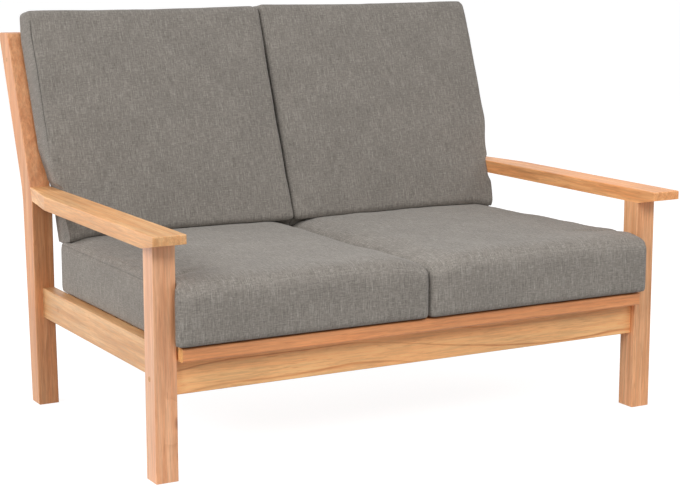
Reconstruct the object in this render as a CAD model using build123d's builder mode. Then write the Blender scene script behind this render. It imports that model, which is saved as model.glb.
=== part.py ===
"""Patio loveseat: a hardwood frame with four loose cushions.

Millimetres, +Z up. The sitter faces -Y, and left and right are the negative and positive X sides.
The origin is on the floor under the centre of the loveseat's outline.
"""

import os
from math import cos, radians, sin, tan

from build123d import *

os.makedirs("parts", exist_ok=True)

# Legs and posts
frame_width = 1300  # across the outer faces of the legs
leg_w = 51  # legs and posts, side to side
leg_d = 52  # front legs, front to back
post_reach = 731  # front faces of the front legs to front faces of the posts
post_rise = 361  # tops of the posts above the tops of the arms
post_foot_d = 49  # posts, front to back, at the floor
post_foot_kick = 8  # a post's foot in front of its straight part
post_upper_d = 60  # posts, square to their leaning front face
post_back_bend_rise = 14  # rear bend above the bend of the front face
post_bend_round = 220
post_top_round = 8
back_lean = 20.5  # degrees from upright
edge_round = 2.5

# Arms
arm_rise = 246  # tops of the arms above the seat deck
arm_t = 32
arm_w = 75
nose_reach = 61  # arm in front of the front leg
nose_t = 20  # front end of the arm, where its underside has tapered up
arm_taper_length = 155  # stretch in front of the post where the arm narrows to it
arm_round = 3
nose_corner_round = 4

# Seat frame
seat_height = 290  # top of the seat deck and of the side rails
side_rail_t = 31
side_rail_h = 73
apron_t = 26
apron_h = 76
apron_setback = 15  # behind the front faces of the legs
rear_rail_t = 28
rear_rail_h = 73
rear_rail_gap = 90  # between the rear rail and the posts
side_bearer_t = 22
side_bearer_h = 40
centre_bearer_t = 30
centre_bearer_h = 50
bearer_tenon_t = 14
bearer_tenon_h = 28
bearer_tenon_length = 12

# Seat deck
board_t = 30
board_reach = 22  # in front of the front legs
board_d = 92
board_end_gap = 3.5
board_front_round = 5
slat_t = 22
slat_w = 70
slat_count = 6
slat_round = 3

# Back
back_rail_t = 36
back_rail_h = 76
bottom_rail_rise = 52  # lower edge above the bend of the posts, along the lean
top_rail_drop = 20  # upper edge below the tops of the posts, along the lean
back_slat_w = 50
back_slat_t = 18
back_slat_count = 11
back_slat_round = 2
back_tenon_t = 10
back_tenon_w = 42
back_tenon_length = 14

# Joints
joint_clearance = 0.2
mortise_end_gap = 1
rail_tenon_t = 12
rail_tenon_h = 44
rail_tenon_length = 16
arm_tenon_t = 14
arm_tenon_w = 34
arm_tenon_length = 18
leg_tenon_w = 26
leg_tenon_d = 30
leg_tenon_length = 18
dowel_r = 4
dowel_depth = 14  # in each of the two pieces
dowel_spread = 20  # from the bolt's axis
dowel_clearance = 0.1

# Bolts, barrel nuts and plugs
bolt_r = 3
bolt_hole_clearance = 0.3
bolt_grip = 48  # bolt beyond the end of the cross member
bolt_head_r = 5
bolt_head_h = 6
bolt_key_size = 5
bolt_key_depth = 3
plug_r = 6
plug_t = 4
plug_clearance = 0.1
nut_r = 5
nut_length = 16
nut_inset = 36  # middle of a barrel nut from the end of its rail
nut_clearance = 0.15
nut_thread_clearance = 0.1

# Screws
screw_r = 2
screw_head_r = 4
screw_head_h = 2.6
screw_clearance = 0.2
screw_sink = 0.5  # heads below the surface
deck_screw_length = 45
bearer_screw_length = 36
bearer_screw_count = 3

# Glides pressed into the feet
glide_r = 11
glide_proud = 2
glide_stem_r = 3
glide_stem_length = 14
glide_stem_clearance = 0.1

# Cushions
soft_clearance = 0.3
cushion_side_clearance = 0.5
cushion_draw_in = 4  # middle of each side inside the line of its corners
seat_cushion_t = 146  # at the top of its crown
seat_cushion_rear_gap = 49  # in front of the posts
seat_cushion_overhang = 17  # in front of the seat board
seat_cushion_crown_radius = 3700
seat_cushion_top_rim = 38
seat_cushion_bottom_rim = 22
seat_cushion_corner_round = 42
back_cushion_t = 99  # from the plane of the posts to the top of its front crown
back_cushion_top = 459  # above the bend of the posts, along the lean
back_cushion_crown_radius = 2900
back_cushion_rear_radius = 3400
back_cushion_drop = 110  # underside below the bend of the posts, along the lean
back_cushion_contact = 91  # front of the flat underside, in front of the posts
back_cushion_front_rim = 24
back_cushion_rear_rim = 16
back_cushion_corner_round = 32
back_cushion_flare = 26  # outer side beyond the line of the arms, at the top
flare_length = 160
flare_round = 200

# Places that several pieces share
lean_sin = sin(radians(back_lean))
lean_cos = cos(radians(back_lean))
lean_tan = tan(radians(back_lean))
arm_height = seat_height + arm_rise
arm_underside = arm_height - arm_t
post_height = arm_height + post_rise
post_back_bend_height = arm_underside + post_back_bend_rise
post_run = (post_height - arm_underside) * lean_tan
post_corner_loss = post_top_round * (lean_tan + 1 / lean_cos - 1)
depth = nose_reach + post_reach + post_run + post_upper_d / lean_cos - post_corner_loss
leg_outer = frame_width / 2
leg_inner = leg_outer - leg_w
leg_x = leg_outer - leg_w / 2
leg_front = nose_reach - depth / 2
leg_back = leg_front + leg_d
leg_y = leg_front + leg_d / 2
post_front = leg_front + post_reach
foot_front = post_front - post_foot_kick
foot_y = foot_front + post_foot_d / 2
rail_bottom = seat_height - side_rail_h
rail_x = leg_inner + side_rail_t / 2
rail_outer = leg_inner + side_rail_t
rail_z = seat_height - side_rail_h / 2
apron_top = seat_height - board_t
apron_y = leg_front + apron_setback + apron_t / 2
apron_z = apron_top - apron_h / 2
rear_rail_y = post_front - rear_rail_gap - rear_rail_t / 2
rear_rail_z = seat_height - rear_rail_h / 2
bearer_top = seat_height - slat_t
bearer_front = apron_y + apron_t / 2
bearer_back = rear_rail_y - rear_rail_t / 2
bearer_tenon_z = bearer_top - centre_bearer_h / 2
side_bearer_x = leg_inner - side_bearer_t / 2
side_bearer_z = bearer_top - side_bearer_h / 2
deck_half_length = leg_inner - board_end_gap
back_plane = Plane(
    origin=(0, post_front, arm_underside), x_dir=(1, 0, 0), z_dir=(0, -lean_cos, lean_sin)
)
back_recess = (post_upper_d - back_rail_t) / 2
back_rail_plane = back_plane.offset(-post_upper_d / 2)
back_slat_plane = back_plane.offset(-back_recess - back_slat_t / 2)
bottom_rail_s = bottom_rail_rise + back_rail_h / 2
top_rail_s = (post_height - arm_underside) / lean_cos - top_rail_drop - back_rail_h / 2
top_rail_centre = back_rail_plane.from_local_coords((0, top_rail_s, 0))
bolt_recess = bolt_head_h + plug_t
nut_room = nut_length + 2 * nut_clearance
tenon_room = rail_tenon_length + mortise_end_gap
dowel_room = dowel_depth + mortise_end_gap
SIDES = (("left", -1), ("right", 1))

# Front legs
for side, sign in SIDES:
    with BuildPart() as front_leg:
        with BuildSketch(Plane.XY.offset(glide_proud)):
            with Locations((sign * leg_x, leg_y)):
                RectangleRounded(leg_w, leg_d, edge_round)
        extrude(amount=arm_underside - glide_proud)
        with BuildSketch(Plane.XY.offset(arm_underside)):
            with Locations((sign * leg_x, leg_y)):
                Rectangle(leg_tenon_w, leg_tenon_d)
        extrude(amount=leg_tenon_length)
        with BuildSketch(Plane.XZ.offset(-leg_back)):
            with Locations((sign * rail_x, rail_z)):
                Rectangle(rail_tenon_t + 2 * joint_clearance, rail_tenon_h + 2 * joint_clearance)
        extrude(amount=tenon_room, mode=Mode.SUBTRACT)
        with BuildSketch(Plane.YZ.offset(sign * leg_outer)):
            with Locations((apron_y, apron_z)):
                Circle(bolt_r + bolt_hole_clearance)
        extrude(amount=-sign * leg_w, mode=Mode.SUBTRACT)
        with BuildSketch(Plane.YZ.offset(sign * leg_outer)):
            with Locations((apron_y, apron_z)):
                Circle(plug_r + plug_clearance)
        extrude(amount=-sign * bolt_recess, mode=Mode.SUBTRACT)
        with BuildSketch(Plane.YZ.offset(sign * leg_inner)):
            with Locations((apron_y, apron_z - dowel_spread), (apron_y, apron_z + dowel_spread)):
                Circle(dowel_r + dowel_clearance)
        extrude(amount=sign * dowel_room, mode=Mode.SUBTRACT)
        with BuildSketch(Plane.XY.offset(glide_proud)):
            with Locations((sign * leg_x, leg_y)):
                Circle(glide_stem_r + glide_stem_clearance)
        extrude(amount=glide_stem_length + mortise_end_gap, mode=Mode.SUBTRACT)
    front_leg.part.label = f"front_leg_{side}"
    export_step(front_leg.part, f"parts/front_leg_{side}.step")

# Back posts, sawn with a bend at the height of the arms
post_bend_y = (
    post_front + (post_back_bend_height - arm_underside) * lean_tan + post_upper_d / lean_cos
)
for side, sign in SIDES:
    with BuildPart() as back_post:
        with BuildSketch(Plane.YZ.offset(sign * leg_x - leg_w / 2)) as post_outline:
            with BuildLine():
                Polyline(
                    (foot_front, glide_proud),
                    (post_front, rail_bottom),
                    (post_front, arm_underside),
                    (post_front + post_run, post_height),
                    (post_front + post_run + post_upper_d / lean_cos, post_height),
                    (post_bend_y, post_back_bend_height),
                    (foot_front + post_foot_d, glide_proud),
                    close=True,
                )
            make_face()
            fillet(post_outline.vertices().group_by(Axis.Y)[-1], post_top_round)
            bend_corners = post_outline.vertices().sort_by_distance((post_bend_y, post_back_bend_height))
            fillet(bend_corners[0], post_bend_round)
        extrude(amount=leg_w)
        fillet(back_post.faces().filter_by(Axis.X).edges(), edge_round)
        with BuildSketch(Plane.XZ.offset(-post_front)):
            with Locations((sign * rail_x, rail_z)):
                Rectangle(rail_tenon_t + 2 * joint_clearance, rail_tenon_h + 2 * joint_clearance)
        extrude(amount=-tenon_room, mode=Mode.SUBTRACT)
        with BuildSketch(Plane.XZ.offset(-post_front)):
            with Locations((sign * leg_x, arm_underside + arm_t / 2)):
                Rectangle(arm_tenon_w + 2 * joint_clearance, arm_tenon_t + 2 * joint_clearance)
        extrude(amount=-arm_tenon_length - mortise_end_gap, mode=Mode.SUBTRACT)
        with BuildSketch(back_rail_plane):
            with Locations((sign * (leg_inner + tenon_room / 2), bottom_rail_s)):
                Rectangle(tenon_room, rail_tenon_h + 2 * joint_clearance)
        extrude(amount=rail_tenon_t / 2 + joint_clearance, both=True, mode=Mode.SUBTRACT)
        with BuildSketch(Plane.YZ.offset(sign * leg_outer)):
            with Locations((top_rail_centre.Y, top_rail_centre.Z)):
                Circle(bolt_r + bolt_hole_clearance)
        extrude(amount=-sign * leg_w, mode=Mode.SUBTRACT)
        with BuildSketch(Plane.YZ.offset(sign * leg_outer)):
            with Locations((top_rail_centre.Y, top_rail_centre.Z)):
                Circle(plug_r + plug_clearance)
        extrude(amount=-sign * bolt_recess, mode=Mode.SUBTRACT)
        with BuildSketch(Plane.YZ.offset(sign * leg_inner)):
            for spread in (-dowel_spread, dowel_spread):
                with Locations((top_rail_centre.Y + spread * lean_sin, top_rail_centre.Z + spread * lean_cos)):
                    Circle(dowel_r + dowel_clearance)
        extrude(amount=sign * dowel_room, mode=Mode.SUBTRACT)
        with BuildSketch(Plane.XY.offset(glide_proud)):
            with Locations((sign * leg_x, foot_y)):
                Circle(glide_stem_r + glide_stem_clearance)
        extrude(amount=glide_stem_length + mortise_end_gap, mode=Mode.SUBTRACT)
    back_post.part.label = f"back_post_{side}"
    export_step(back_post.part, f"parts/back_post_{side}.step")

# Arms, tapered under the nose and narrowed to the post
arm_outer = leg_inner + arm_w
arm_front = leg_front - nose_reach
arm_back = post_front + arm_t * lean_tan
for side, sign in SIDES:
    with BuildPart() as arm:
        with BuildSketch(Plane.YZ.offset(sign * leg_inner)):
            with BuildLine():
                Polyline(
                    (arm_front, arm_height - nose_t),
                    (arm_front, arm_height),
                    (arm_back, arm_height),
                    (post_front, arm_underside),
                    (leg_front, arm_underside),
                    close=True,
                )
            make_face()
        extrude(amount=sign * arm_w)
        with BuildSketch(Plane.XY.offset(arm_underside)):
            with BuildLine():
                Polyline(
                    (sign * arm_outer, post_front - arm_taper_length),
                    (sign * leg_outer, post_front),
                    (sign * leg_outer, arm_back),
                    (sign * arm_outer, arm_back),
                    close=True,
                )
            make_face()
        extrude(amount=arm_t, mode=Mode.SUBTRACT)
        fillet(arm.edges().filter_by(Axis.Z).group_by(Axis.Y)[0], nose_corner_round)
        fillet(arm.faces().sort_by(Axis.Z)[-1].edges().sort_by(Axis.Y)[:-1], arm_round)
        with BuildSketch(Plane.XY.offset(arm_underside)):
            with Locations((sign * leg_x, leg_y)):
                Rectangle(leg_tenon_w + 2 * joint_clearance, leg_tenon_d + 2 * joint_clearance)
        extrude(amount=leg_tenon_length + mortise_end_gap, mode=Mode.SUBTRACT)
        with BuildSketch(Plane.XZ.offset(-post_front)):
            with Locations((sign * leg_x, arm_underside + arm_t / 2)):
                Rectangle(arm_tenon_w, arm_tenon_t)
        extrude(amount=-arm_tenon_length)
    arm.part.label = f"arm_{side}"
    export_step(arm.part, f"parts/arm_{side}.step")

# Screws that hold the side bearers, between the slats above them
board_front = leg_front - board_reach
deck_back = board_front + board_d
slat_gap = (bearer_back - deck_back - slat_count * slat_w) / (slat_count + 1)
slat_pitch = slat_w + slat_gap
slat_places = [deck_back + slat_gap + slat_w / 2 + i * slat_pitch for i in range(slat_count)]
bearer_screw_pitch = (slat_count // bearer_screw_count) * slat_pitch
bearer_screw_places = [
    slat_places[0] + slat_pitch / 2 + i * bearer_screw_pitch for i in range(bearer_screw_count)
]
bearer_screw_tip = leg_inner - side_bearer_t + screw_sink + bearer_screw_length

# Side rails, with a tenon at each end and a bolt hole for the rear rail
for side, sign in SIDES:
    with BuildPart() as side_rail:
        with BuildSketch(Plane.XZ.offset(-leg_back)):
            with Locations((sign * rail_x, rail_z)):
                RectangleRounded(side_rail_t, side_rail_h, edge_round)
        extrude(amount=leg_back - post_front)
        with BuildSketch(Plane.XZ.offset(-(leg_back + post_front) / 2)):
            with Locations((sign * rail_x, rail_z)):
                Rectangle(rail_tenon_t, rail_tenon_h)
        extrude(amount=(post_front - leg_back) / 2 + rail_tenon_length, both=True)
        with BuildSketch(Plane.YZ.offset(sign * rail_outer)):
            with Locations((rear_rail_y, rear_rail_z)):
                Circle(bolt_r + bolt_hole_clearance)
        extrude(amount=-sign * side_rail_t, mode=Mode.SUBTRACT)
        with BuildSketch(Plane.YZ.offset(sign * rail_outer)):
            with Locations((rear_rail_y, rear_rail_z)):
                Circle(plug_r + plug_clearance)
        extrude(amount=-sign * bolt_recess, mode=Mode.SUBTRACT)
        with BuildSketch(Plane.YZ.offset(sign * leg_inner)):
            with Locations(
                (rear_rail_y, rear_rail_z - dowel_spread), (rear_rail_y, rear_rail_z + dowel_spread)
            ):
                Circle(dowel_r + dowel_clearance)
        extrude(amount=sign * dowel_room, mode=Mode.SUBTRACT)
        with BuildSketch(Plane.YZ.offset(sign * leg_inner)):
            with Locations(*[(screw_y, side_bearer_z) for screw_y in bearer_screw_places]):
                Circle(screw_r + screw_clearance)
        extrude(amount=sign * (bearer_screw_tip + mortise_end_gap - leg_inner), mode=Mode.SUBTRACT)
    side_rail.part.label = f"side_rail_{side}"
    export_step(side_rail.part, f"parts/side_rail_{side}.step")

# Front apron and rear rail, bolted at both ends
cross_rails = (
    ("front_apron", apron_y, apron_z, apron_t, apron_h, 1),
    ("rear_rail", rear_rail_y, rear_rail_z, rear_rail_t, rear_rail_h, -1),
)
for name, y, z, thickness, height, inward in cross_rails:
    with BuildPart() as cross_rail:
        with BuildSketch(Plane.YZ.offset(-leg_inner)):
            with Locations((y, z)):
                RectangleRounded(thickness, height, edge_round)
        extrude(amount=2 * leg_inner)
        for sign in (-1, 1):
            with BuildSketch(Plane.YZ.offset(sign * leg_inner)):
                with Locations((y, z)):
                    Circle(bolt_r + bolt_hole_clearance)
            extrude(amount=-sign * (bolt_grip + mortise_end_gap), mode=Mode.SUBTRACT)
            with BuildSketch(Plane.YZ.offset(sign * leg_inner)):
                with Locations((y, z - dowel_spread), (y, z + dowel_spread)):
                    Circle(dowel_r + dowel_clearance)
            extrude(amount=-sign * dowel_room, mode=Mode.SUBTRACT)
        with BuildSketch(Plane.XZ.offset(-y + inward * nut_room / 2)):
            with Locations((nut_inset - leg_inner, z), (leg_inner - nut_inset, z)):
                Circle(nut_r + nut_clearance)
        extrude(amount=-inward * (nut_room + thickness) / 2, mode=Mode.SUBTRACT)
        with BuildSketch(Plane.XZ.offset(-y - inward * thickness / 2)):
            with Locations((0, bearer_tenon_z)):
                Rectangle(bearer_tenon_t + 2 * joint_clearance, bearer_tenon_h + 2 * joint_clearance)
        extrude(amount=inward * (bearer_tenon_length + mortise_end_gap), mode=Mode.SUBTRACT)
    cross_rail.part.label = name
    export_step(cross_rail.part, f"parts/{name}.step")

# Bearers under the seat deck
board_screw_y = (bearer_front + deck_back) / 2
screw_places = [board_screw_y] + slat_places
deck_screw_tip = seat_height - screw_sink - deck_screw_length
for side, sign in SIDES:
    with BuildPart() as side_bearer:
        with BuildSketch(Plane.XZ.offset(-bearer_front)):
            with Locations((sign * side_bearer_x, side_bearer_z)):
                Rectangle(side_bearer_t, side_bearer_h)
        extrude(amount=bearer_front - bearer_back)
        with BuildSketch(Plane.XY.offset(bearer_top)):
            with Locations(*[(sign * side_bearer_x, screw_y) for screw_y in screw_places]):
                Circle(screw_r + screw_clearance)
        extrude(amount=deck_screw_tip - mortise_end_gap - bearer_top, mode=Mode.SUBTRACT)
        with BuildSketch(Plane.YZ.offset(sign * leg_inner)):
            with Locations(*[(screw_y, side_bearer_z) for screw_y in bearer_screw_places]):
                Circle(screw_r + screw_clearance)
        extrude(amount=-sign * side_bearer_t, mode=Mode.SUBTRACT)
        with BuildSketch(Plane.YZ.offset(sign * (leg_inner - side_bearer_t))):
            with Locations(*[(screw_y, side_bearer_z) for screw_y in bearer_screw_places]):
                Circle(screw_head_r + screw_clearance)
        extrude(amount=sign * (screw_sink + screw_head_h), mode=Mode.SUBTRACT)
    side_bearer.part.label = f"side_bearer_{side}"
    export_step(side_bearer.part, f"parts/side_bearer_{side}.step")

with BuildPart() as centre_bearer:
    with BuildSketch(Plane.XZ.offset(-bearer_front)):
        with Locations((0, bearer_top - centre_bearer_h / 2)):
            Rectangle(centre_bearer_t, centre_bearer_h)
    extrude(amount=bearer_front - bearer_back)
    with BuildSketch(Plane.XZ.offset(-(bearer_front + bearer_back) / 2)):
        with Locations((0, bearer_tenon_z)):
            Rectangle(bearer_tenon_t, bearer_tenon_h)
    extrude(amount=(bearer_back - bearer_front) / 2 + bearer_tenon_length, both=True)
    with BuildSketch(Plane.XY.offset(bearer_top)):
        with Locations(*[(0, screw_y) for screw_y in screw_places]):
            Circle(screw_r + screw_clearance)
    extrude(amount=deck_screw_tip - mortise_end_gap - bearer_top, mode=Mode.SUBTRACT)
centre_bearer.part.label = "centre_bearer"
export_step(centre_bearer.part, "parts/centre_bearer.step")

# Front seat board, rebated over the bearers and proud of the legs
screw_xs = (-side_bearer_x, 0, side_bearer_x)
rebate_front = bearer_front - joint_clearance
with BuildPart() as front_seat_board:
    with BuildSketch(Plane.YZ.offset(-deck_half_length)) as board_outline:
        with BuildLine():
            Polyline(
                (board_front, apron_top),
                (board_front, seat_height),
                (deck_back, seat_height),
                (deck_back, bearer_top),
                (rebate_front, bearer_top),
                (rebate_front, apron_top),
                close=True,
            )
        make_face()
        fillet(board_outline.vertices().group_by(Axis.X)[0], board_front_round)
    extrude(amount=2 * deck_half_length)
    with BuildSketch(Plane.XY.offset(seat_height)):
        with Locations(*[(screw_x, board_screw_y) for screw_x in screw_xs]):
            Circle(screw_r + screw_clearance)
    extrude(amount=-board_t, mode=Mode.SUBTRACT)
    with BuildSketch(Plane.XY.offset(seat_height)):
        with Locations(*[(screw_x, board_screw_y) for screw_x in screw_xs]):
            Circle(screw_head_r + screw_clearance)
    extrude(amount=-screw_sink - screw_head_h, mode=Mode.SUBTRACT)
front_seat_board.part.label = "front_seat_board"
export_step(front_seat_board.part, "parts/front_seat_board.step")

# Seat slats behind the board
for index, slat_y in enumerate(slat_places):
    with BuildPart() as seat_slat:
        with BuildSketch(Plane.YZ.offset(-deck_half_length)):
            with Locations((slat_y, seat_height - slat_t / 2)):
                RectangleRounded(slat_w, slat_t, slat_round)
        extrude(amount=2 * deck_half_length)
        with BuildSketch(Plane.XY.offset(seat_height)):
            with Locations(*[(screw_x, slat_y) for screw_x in screw_xs]):
                Circle(screw_r + screw_clearance)
        extrude(amount=-slat_t, mode=Mode.SUBTRACT)
        with BuildSketch(Plane.XY.offset(seat_height)):
            with Locations(*[(screw_x, slat_y) for screw_x in screw_xs]):
                Circle(screw_head_r + screw_clearance)
        extrude(amount=-screw_sink - screw_head_h, mode=Mode.SUBTRACT)
    seat_slat.part.label = f"seat_slat_{index + 1}"
    export_step(seat_slat.part, f"parts/seat_slat_{index + 1}.step")

# Screws of the deck and of the side bearers
with BuildPart() as deck_screws:
    screw_grid = [(screw_x, screw_y) for screw_x in screw_xs for screw_y in screw_places]
    with BuildSketch(Plane.XY.offset(deck_screw_tip)):
        with Locations(*screw_grid):
            Circle(screw_r)
    extrude(amount=deck_screw_length)
    with BuildSketch(Plane.XY.offset(seat_height - screw_sink)):
        with Locations(*screw_grid):
            Circle(screw_head_r)
    extrude(amount=-screw_head_h)
deck_screws.part.label = "deck_screws"
export_step(deck_screws.part, "parts/deck_screws.step")

with BuildPart() as bearer_screws:
    for sign in (-1, 1):
        with BuildSketch(Plane.YZ.offset(sign * bearer_screw_tip)):
            with Locations(*[(screw_y, side_bearer_z) for screw_y in bearer_screw_places]):
                Circle(screw_r)
        extrude(amount=-sign * bearer_screw_length)
        with BuildSketch(Plane.YZ.offset(sign * (bearer_screw_tip - bearer_screw_length))):
            with Locations(*[(screw_y, side_bearer_z) for screw_y in bearer_screw_places]):
                Circle(screw_head_r)
        extrude(amount=sign * screw_head_h)
bearer_screws.part.label = "bearer_screws"
export_step(bearer_screws.part, "parts/bearer_screws.step")

# Rails of the back: the lower one is tenoned into the posts, the upper one bolted
slat_span = 2 * leg_inner + back_slat_w
back_slat_places = [
    slat_span * (i + 1) / (back_slat_count + 1) - slat_span / 2 for i in range(back_slat_count)
]
back_slat_bottom = bottom_rail_s + back_rail_h / 2
back_slat_top = top_rail_s - back_rail_h / 2
back_slat_length = back_slat_top - back_slat_bottom
back_slat_s = (back_slat_top + back_slat_bottom) / 2
for name, rail_s in (("back_bottom_rail", bottom_rail_s), ("back_top_rail", top_rail_s)):
    rail_centre = back_rail_plane.from_local_coords((0, rail_s, 0))
    with BuildPart() as back_rail:
        with BuildSketch(Plane.YZ.offset(-leg_inner)):
            with Locations((rail_centre.Y, rail_centre.Z)):
                RectangleRounded(back_rail_t, back_rail_h, edge_round, rotation=-back_lean)
        extrude(amount=2 * leg_inner)
        if name == "back_bottom_rail":
            with BuildSketch(back_rail_plane):
                with Locations((0, rail_s)):
                    Rectangle(2 * (leg_inner + rail_tenon_length), rail_tenon_h)
            extrude(amount=rail_tenon_t / 2, both=True)
        else:
            for sign in (-1, 1):
                with BuildSketch(Plane.YZ.offset(sign * leg_inner)):
                    with Locations((rail_centre.Y, rail_centre.Z)):
                        Circle(bolt_r + bolt_hole_clearance)
                extrude(amount=-sign * (bolt_grip + mortise_end_gap), mode=Mode.SUBTRACT)
                with BuildSketch(Plane.YZ.offset(sign * leg_inner)):
                    for spread in (-dowel_spread, dowel_spread):
                        with Locations((rail_centre.Y + spread * lean_sin, rail_centre.Z + spread * lean_cos)):
                            Circle(dowel_r + dowel_clearance)
                extrude(amount=-sign * dowel_room, mode=Mode.SUBTRACT)
            with BuildSketch(back_rail_plane.offset(nut_room / 2)):
                with Locations((nut_inset - leg_inner, rail_s), (leg_inner - nut_inset, rail_s)):
                    Circle(nut_r + nut_clearance)
            extrude(amount=-(nut_room + back_rail_t) / 2, mode=Mode.SUBTRACT)
        with BuildSketch(back_slat_plane):
            with Locations(*[(slat_x, back_slat_s) for slat_x in back_slat_places]):
                Rectangle(
                    back_tenon_w + 2 * joint_clearance,
                    back_slat_length + 2 * (back_tenon_length + mortise_end_gap),
                )
        extrude(amount=back_tenon_t / 2 + joint_clearance, both=True, mode=Mode.SUBTRACT)
    back_rail.part.label = name
    export_step(back_rail.part, f"parts/{name}.step")

# Back slats, flush with the front of their rails
for index, slat_x in enumerate(back_slat_places):
    with BuildPart() as back_slat:
        with BuildSketch(back_slat_plane):
            with Locations((slat_x, back_slat_s)):
                Rectangle(back_slat_w, back_slat_length)
        extrude(amount=back_slat_t / 2, both=True)
        slat_direction = Axis(back_slat_plane.origin, back_slat_plane.y_dir)
        fillet(back_slat.edges().filter_by(slat_direction), back_slat_round)
        with BuildSketch(back_slat_plane):
            with Locations((slat_x, back_slat_s)):
                Rectangle(back_tenon_w, back_slat_length + 2 * back_tenon_length)
        extrude(amount=back_tenon_t / 2, both=True)
    back_slat.part.label = f"back_slat_{index + 1}"
    export_step(back_slat.part, f"parts/back_slat_{index + 1}.step")

# Bolts with hexagon sockets: longer ones through legs and posts, shorter ones through side rails
bolt_sets = (
    ("long_bolts", leg_outer, ((apron_y, apron_z), (top_rail_centre.Y, top_rail_centre.Z))),
    ("short_bolts", rail_outer, ((rear_rail_y, rear_rail_z),)),
)
for name, outer_face, places in bolt_sets:
    head_inner = outer_face - bolt_recess
    with BuildPart() as bolts:
        for sign in (-1, 1):
            with BuildSketch(Plane.YZ.offset(sign * (leg_inner - bolt_grip))):
                with Locations(*places):
                    Circle(bolt_r)
            extrude(amount=sign * (head_inner + bolt_grip - leg_inner))
            with BuildSketch(Plane.YZ.offset(sign * head_inner)):
                with Locations(*places):
                    Circle(bolt_head_r)
            extrude(amount=sign * bolt_head_h)
            with BuildSketch(Plane.YZ.offset(sign * (head_inner + bolt_head_h))):
                with Locations(*places):
                    RegularPolygon(bolt_key_size / 2, 6, major_radius=False)
            extrude(amount=-sign * bolt_key_depth, mode=Mode.SUBTRACT)
    bolts.part.label = name
    export_step(bolts.part, f"parts/{name}.step")

# Barrel nuts that the bolts pull on
with BuildPart() as barrel_nuts:
    for sign in (-1, 1):
        for y, z in ((apron_y, apron_z), (rear_rail_y, rear_rail_z)):
            with BuildSketch(Plane.XZ.offset(-y)):
                with Locations((sign * (leg_inner - nut_inset), z)):
                    Circle(nut_r)
            extrude(amount=nut_length / 2, both=True)
        with BuildSketch(back_rail_plane):
            with Locations((sign * (leg_inner - nut_inset), top_rail_s)):
                Circle(nut_r)
        extrude(amount=nut_length / 2, both=True)
        with BuildSketch(Plane.YZ.offset(sign * (leg_inner - nut_inset))):
            with Locations(
                (apron_y, apron_z), (rear_rail_y, rear_rail_z), (top_rail_centre.Y, top_rail_centre.Z)
            ):
                Circle(bolt_r + nut_thread_clearance)
        extrude(amount=nut_r, both=True, mode=Mode.SUBTRACT)
barrel_nuts.part.label = "barrel_nuts"
export_step(barrel_nuts.part, "parts/barrel_nuts.step")

# Plugs over the bolt heads
plug_places = (
    (leg_outer, apron_y, apron_z),
    (rail_outer, rear_rail_y, rear_rail_z),
    (leg_outer, top_rail_centre.Y, top_rail_centre.Z),
)
with BuildPart() as plugs:
    for sign in (-1, 1):
        for outer_face, y, z in plug_places:
            with BuildSketch(Plane.YZ.offset(sign * outer_face)):
                with Locations((y, z)):
                    Circle(plug_r)
            extrude(amount=-sign * plug_t)
plugs.part.label = "plugs"
export_step(plugs.part, "parts/plugs.step")

# Dowels that keep the bolted rails from turning
dowel_places = [(apron_y, apron_z + spread) for spread in (-dowel_spread, dowel_spread)]
dowel_places += [(rear_rail_y, rear_rail_z + spread) for spread in (-dowel_spread, dowel_spread)]
dowel_places += [
    (top_rail_centre.Y + spread * lean_sin, top_rail_centre.Z + spread * lean_cos)
    for spread in (-dowel_spread, dowel_spread)
]
with BuildPart() as dowels:
    for sign in (-1, 1):
        with BuildSketch(Plane.YZ.offset(sign * leg_inner)):
            with Locations(*dowel_places):
                Circle(dowel_r)
        extrude(amount=dowel_depth, both=True)
dowels.part.label = "dowels"
export_step(dowels.part, "parts/dowels.step")

# Glides under the feet
with BuildPart() as glides:
    glide_places = [(sign * leg_x, y) for sign in (-1, 1) for y in (leg_y, foot_y)]
    with BuildSketch(Plane.XY):
        with Locations(*glide_places):
            Circle(glide_r)
    extrude(amount=glide_proud)
    with BuildSketch(Plane.XY):
        with Locations(*glide_places):
            Circle(glide_stem_r)
    extrude(amount=glide_proud + glide_stem_length)
glides.part.label = "glides"
export_step(glides.part, "parts/glides.step")

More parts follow.
